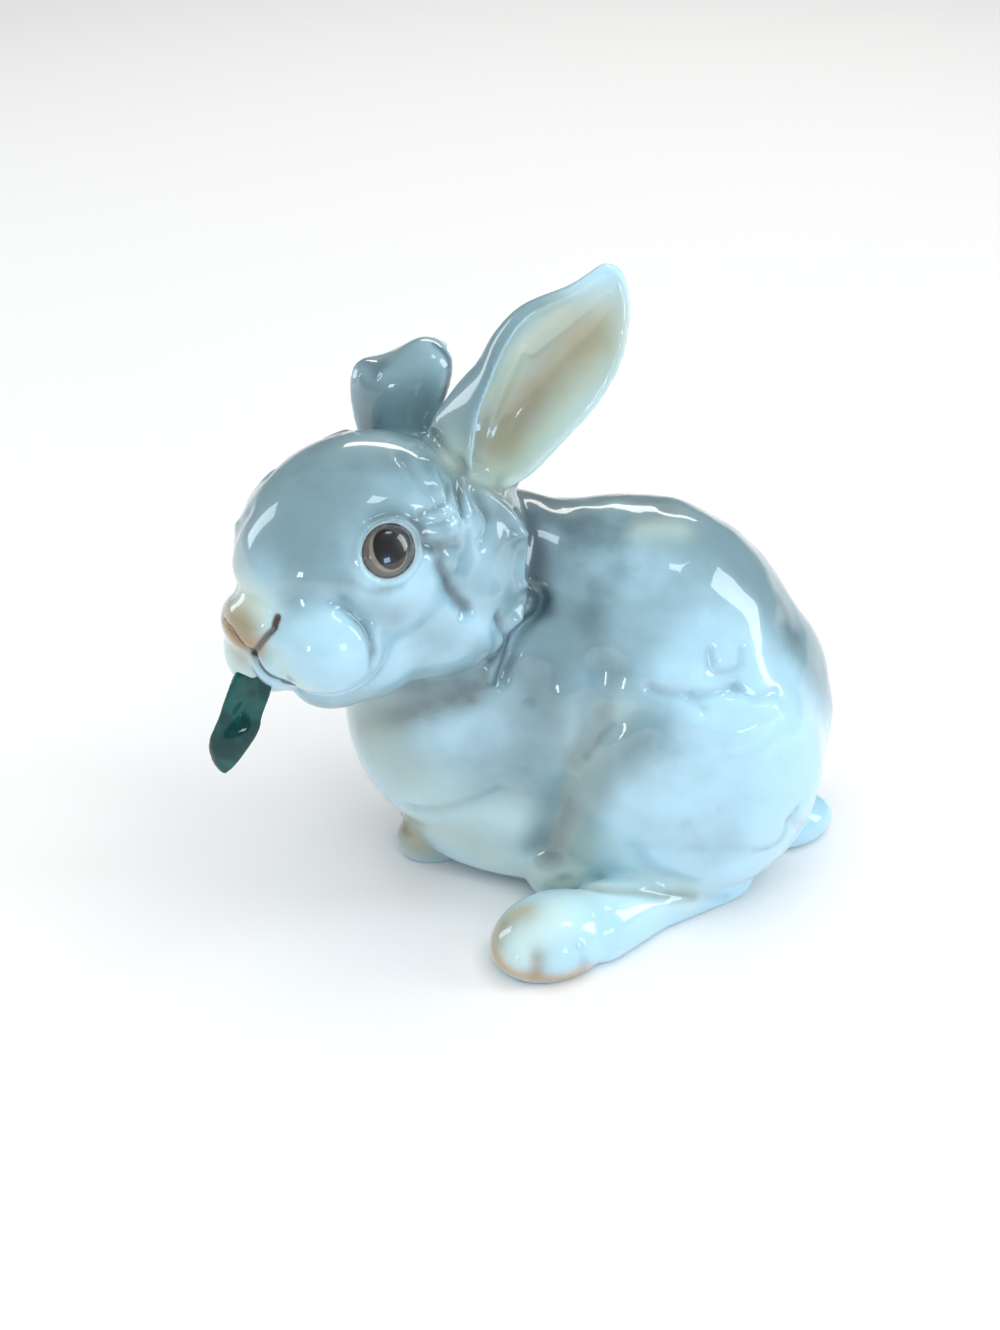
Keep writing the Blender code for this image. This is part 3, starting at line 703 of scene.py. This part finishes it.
class Wire:
    """A socket of a material; an expression on wires adds its Math nodes."""

    def __init__(self, tree, socket=None):
        self.tree = tree
        self.socket = socket

    def node(self, kind, settings=None, inputs=None, output=0):
        """A node with its settings, then values or wires in its sockets; one of its outputs as a wire."""
        made = self.tree.nodes.new(kind)
        for name, value in (settings or {}).items():
            setattr(made, name, value)
        for key, value in (inputs or {}).items():
            if isinstance(value, Wire):
                self.tree.links.new(value.socket, made.inputs[key])
            else:
                made.inputs[key].default_value = value
        return Wire(self.tree, made.outputs[output])

    def math(self, operation, *values):
        return self.node("ShaderNodeMath", {"operation": operation}, dict(enumerate(values)))

    def __add__(self, other):
        return self.math("ADD", self, other)

    __radd__ = __add__

    def __sub__(self, other):
        return self.math("SUBTRACT", self, other)

    def __rsub__(self, other):
        return self.math("SUBTRACT", other, self)

    def __mul__(self, other):
        return self.math("MULTIPLY", self, other)

    __rmul__ = __mul__

    def __truediv__(self, other):
        return self.math("DIVIDE", self, other)

    def __pow__(self, other):
        return self.math("POWER", self, other)

    def between(self, low, high):
        """0 up to low, 1 from high, and smooth between them."""
        settings = {"interpolation_type": "SMOOTHSTEP"}
        return self.node("ShaderNodeMapRange", settings, {"Value": self, "From Min": low, "From Max": high})

    def mixed(self, under, over):
        """The colour under, covered by the colour over where this mask is 1."""
        return self.node("ShaderNodeMix", {"data_type": "RGBA"}, {0: self, 6: under, 7: over}, 2)

    def vector(self, operation, *values, output=0):
        return self.node("ShaderNodeVectorMath", {"operation": operation}, dict(enumerate(values)), output)


def new_glaze(name, roughness):
    """A glossy material, its shader, and the place on the figurine as a wire."""
    glaze = bpy.data.materials.new(name)
    glaze.use_nodes = True
    tree = glaze.node_tree
    shader = tree.nodes["Principled BSDF"]
    shader.inputs["Roughness"].default_value = 0.35
    shader.inputs["Coat Weight"].default_value = 1.0
    shader.inputs["Coat Roughness"].default_value = roughness
    shader.inputs["Coat IOR"].default_value = 1.55
    place = Wire(tree).node("ShaderNodeTexCoord", output=3)
    return glaze, shader, place


PALE = (0.50, 0.78, 0.92, 1)
MIST = (0.20, 0.32, 0.36, 1)
SLATE = (0.05, 0.085, 0.10, 1)
# The grooves' teal: pooled glaze, and painted shade.
POOL_AND_GROOVE_SHADE = (0.05, 0.12, 0.15, 1)
OCHRE = (0.46, 0.40, 0.24, 1)
UMBER = (0.12, 0.055, 0.02, 1)
CREAM = (0.72, 0.86, 0.74, 1)
RUST = (0.50, 0.30, 0.12, 1)
LID = (0.50, 0.62, 0.66, 1)
IRIS = (0.13, 0.11, 0.09, 1)
DARK_IRIS = (0.03, 0.03, 0.035, 1)
RING = (0.24, 0.22, 0.17, 1)
PUPIL = (0.010, 0.006, 0.006, 1)
NOSE_LINE = (0.06, 0.02, 0.012, 1)
MOUTH_LINE = (0.03, 0.045, 0.06, 1)
LEAF = (0.008, 0.11, 0.10, 1)
DARK_LEAF = (0.002, 0.045, 0.045, 1)


def paint_eye(colour, place, side):
    """The eye's rings over the colour: pale lid, grey-brown iris, cream ring and dark pupil."""
    eye = Eye(side)
    off = place.vector("SUBTRACT", place, (eye.middle - MIDDLE) * MM)
    across = off.vector("DOT_PRODUCT", off, eye.across, output=1) / MM
    up = off.vector("DOT_PRODUCT", off, eye.up, output=1) / MM
    depth = off.vector("DOT_PRODUCT", off, eye.out, output=1) / MM
    here = 1 - depth.math("ABSOLUTE", depth).between(EYE_DEPTH - 1, EYE_DEPTH + 1)

    def ellipse(middle_across, middle_up, across_radius, up_radius):
        a = (across - middle_across) / across_radius
        b = (up - middle_up) / up_radius
        return (a * a + b * b) ** 0.5

    rim = ellipse(0, 0, Eye.across_radius, Eye.up_radius)
    ring = ellipse(0.85, 0.3, 3.85, 4.2)
    pupil = ellipse(0.5, 0.5, 3.4, 4.05)
    ball = here * (1 - rim.between(0.97, 1.03))
    iris = (across / 5).between(-1, 1).mixed(DARK_IRIS, IRIS)
    colour = (here * (1 - rim.between(1.08, 1.17))).mixed(colour, LID)
    colour = (here * (1 - rim.between(1.02, 1.07))).mixed(colour, DARK_IRIS)
    colour = ball.mixed(colour, iris)
    colour = (ball * (1 - ring.between(0.96, 1.04))).mixed(colour, RING)
    return (ball * (1 - pupil.between(0.96, 1.04))).mixed(colour, PUPIL)


def painted_lines():
    """The fine brush lines of the nose and mouth: points on the skin, half width, strength and colour."""
    skin = Clay(rabbit).skin
    to_cad = Matrix.Scale(MM, 4) @ Matrix.Translation(-MIDDLE) @ MUZZLE
    lines = []
    for points, width, strength, colour in (
        (NEAR_ARM, 1.1, 0.85, NOSE_LINE),
        (NEAR_ARM[:2], 1.0, 0.7, NOSE_LINE),
        (FAR_ARM, 0.5, 0.9, NOSE_LINE),
        (MOUTH, 0.65, 0.85, MOUTH_LINE),
    ):
        steps = between(points, 3 * len(points) - 2)
        lines.append(([skin.find_nearest(to_cad @ Vector(p))[0] for p in steps], width, strength, colour))
    return lines


def line_gap(place, points):
    """The distance from the line through the points, in millimetres."""
    gap = None
    for a, b in zip(points, points[1:]):
        run = b - a
        off = place.vector("SUBTRACT", place, a)
        share = off.vector("DOT_PRODUCT", off, run / max(run.length_squared, 1e-12), output=1)
        share = share.math("MINIMUM", share.math("MAXIMUM", share, 0.0), 1.0)
        foot = off.node("ShaderNodeVectorMath", {"operation": "SCALE"}, {0: run, 3: share})
        reach = off.vector("DISTANCE", off, foot, output=1) / MM
        gap = reach if gap is None else gap.math("MINIMUM", gap, reach)
    return gap


def porcelain():
    glaze, shader, place = new_glaze("porcelain", 0.03)
    shader.inputs["Subsurface Weight"].default_value = 0.12
    shader.inputs["Subsurface Radius"].default_value = (0.004, 0.003, 0.002)
    shader.inputs["Subsurface Scale"].default_value = 1.0
    cloud = place.node("ShaderNodeTexNoise", None, {"Vector": place, "Scale": 45.0, "Detail": 3.0})
    wisps = place.node("ShaderNodeTexNoise", None, {"Vector": place, "Scale": 150.0, "Detail": 3.0})
    height = place.node("ShaderNodeSeparateXYZ", None, {0: place}, 2)

    def sprayed(name):
        return place.node("ShaderNodeAttribute", {"attribute_name": name}, output=2)

    low = 0.07 + 0.12 * (height / MM).between(10, 60)
    mist = (sprayed("mist") + low + (cloud - 0.5) * 0.9 + (wisps - 0.5) * 0.35).between(-0.1, 1.1)
    colour = mist.mixed(PALE, MIST)
    slate = sprayed("slate")
    slate = slate * (slate + (cloud - 0.5) * 0.8 + (wisps - 0.5) * 1.2).between(-0.1, 0.75)
    colour = slate.mixed(colour, SLATE)
    for name, paint_colour in {"cream": CREAM, "ochre": OCHRE, "umber": UMBER, "rust": RUST}.items():
        mask = sprayed(name) * (0.75 + wisps * 0.5)
        colour = mask.mixed(colour, paint_colour)
    # Darker teal in the carved grooves: pooled glaze, and painted shade in them.
    colour = (sprayed("pool_and_groove_shade") * 0.35).mixed(colour, POOL_AND_GROOVE_SHADE)
    for line, width, strength, line_colour in painted_lines():
        gap = line_gap(place, line)
        colour = (strength * (1 - gap.between(0.25 * width, width))).mixed(colour, line_colour)
    for side in BOTH:
        colour = paint_eye(colour, place, side)
    place.tree.links.new(colour.socket, shader.inputs["Base Color"])
    return glaze


def leaf_glaze():
    glaze, shader, place = new_glaze("leaf_glaze", 0.06)
    shader.inputs["Specular IOR Level"].default_value = 0.05
    shader.inputs["Coat Weight"].default_value = 0.6
    streaks = place.node("ShaderNodeTexNoise", None, {"Vector": place, "Scale": 220.0, "Detail": 4.0})
    cloud = place.node("ShaderNodeTexNoise", None, {"Vector": place, "Scale": 90.0})
    colour = (streaks * 0.5 + cloud * 0.5).between(0.42, 0.6).mixed(DARK_LEAF, LEAF)
    place.tree.links.new(colour.socket, shader.inputs["Base Color"])
    return glaze


rabbit.data.materials.clear()
rabbit.data.materials.append(porcelain())
leaf.data.materials.append(leaf_glaze())


# Stage, lights and camera

def add_stage():
    bpy.ops.mesh.primitive_plane_add(size=8, location=(0, 0, 0))
    floor = bpy.context.object
    floor.name = "floor"
    paper = bpy.data.materials.new("paper")
    paper.use_nodes = True
    shader = paper.node_tree.nodes["Principled BSDF"]
    shader.inputs["Base Color"].default_value = (0.93, 0.9, 0.885, 1)
    shader.inputs["Roughness"].default_value = 0.9
    floor.data.materials.append(paper)


def add_light(name, azimuth, elevation, distance, size, power, colour=(1, 1, 1), seen=True):
    """A soft box aimed at the figurine, from the camera's side at azimuth 0 and from +X at 90.

    Where it isn't seen, the glaze doesn't reflect it.
    """
    lamp = bpy.data.lights.new(name, "AREA")
    lamp.shape = "RECTANGLE"
    lamp.size, lamp.size_y = size
    lamp.energy = power
    lamp.color = colour
    light = bpy.data.objects.new(name, lamp)
    a, e = math.radians(azimuth), math.radians(elevation)
    away = Vector((math.sin(a) * math.cos(e), -math.cos(a) * math.cos(e), math.sin(e)))
    light.location = Vector((0, 0, 0.06)) + away * distance
    light.rotation_euler = away.to_track_quat("Z", "Y").to_euler()
    light.visible_glossy = seen
    bpy.context.collection.objects.link(light)


def add_lights():
    add_light("overhead", 0, 80, 1.4, (1.6, 1.6), 17, seen=False)
    add_light("front", 10, 35, 1.3, (1.2, 1.0), 3, seen=False)
    add_light("right_window", 85, 22, 0.9, (0.22, 0.5), 2.2, (0.85, 0.93, 1))
    add_light("front_right_window", 38, 8, 1.0, (0.2, 0.18), 1.2, (0.45, 0.68, 1))
    add_light("front_left_window", -27, 12, 1.0, (0.1, 0.16), 0.6)
    add_light("left_window", -110, 20, 0.9, (0.2, 0.5), 1.5, (0.85, 0.93, 1))
    add_light("back_window", 170, 30, 1.0, (0.7, 0.12), 1.5, (1, 0.98, 0.9))
    add_light("high_window", 80, 62, 1.0, (0.15, 0.25), 0.8, (0.8, 0.92, 1))
    world = bpy.data.worlds.new("studio")
    world.use_nodes = True
    world.node_tree.nodes["Background"].inputs["Color"].default_value = (0.80, 0.92, 0.96, 1)
    world.node_tree.nodes["Background"].inputs["Strength"].default_value = 0.25
    bpy.context.scene.world = world
    bpy.context.scene.view_settings.view_transform = "Standard"


def add_camera():
    """The photograph's view of the rabbit's left side, from above."""
    elevation = math.radians(VIEW_ELEVATION)
    away = Vector((0, -math.cos(elevation), math.sin(elevation)))
    data = bpy.data.cameras.new("camera")
    data.lens = VIEW_LENS
    camera = bpy.data.objects.new("camera", data)
    camera.location = (VIEW_AIM - MIDDLE) * MM + VIEW_DISTANCE * away
    camera.rotation_euler = (math.pi / 2 - elevation, 0, 0)
    bpy.context.collection.objects.link(camera)
    bpy.context.scene.camera = camera


add_stage()
add_lights()
add_camera()
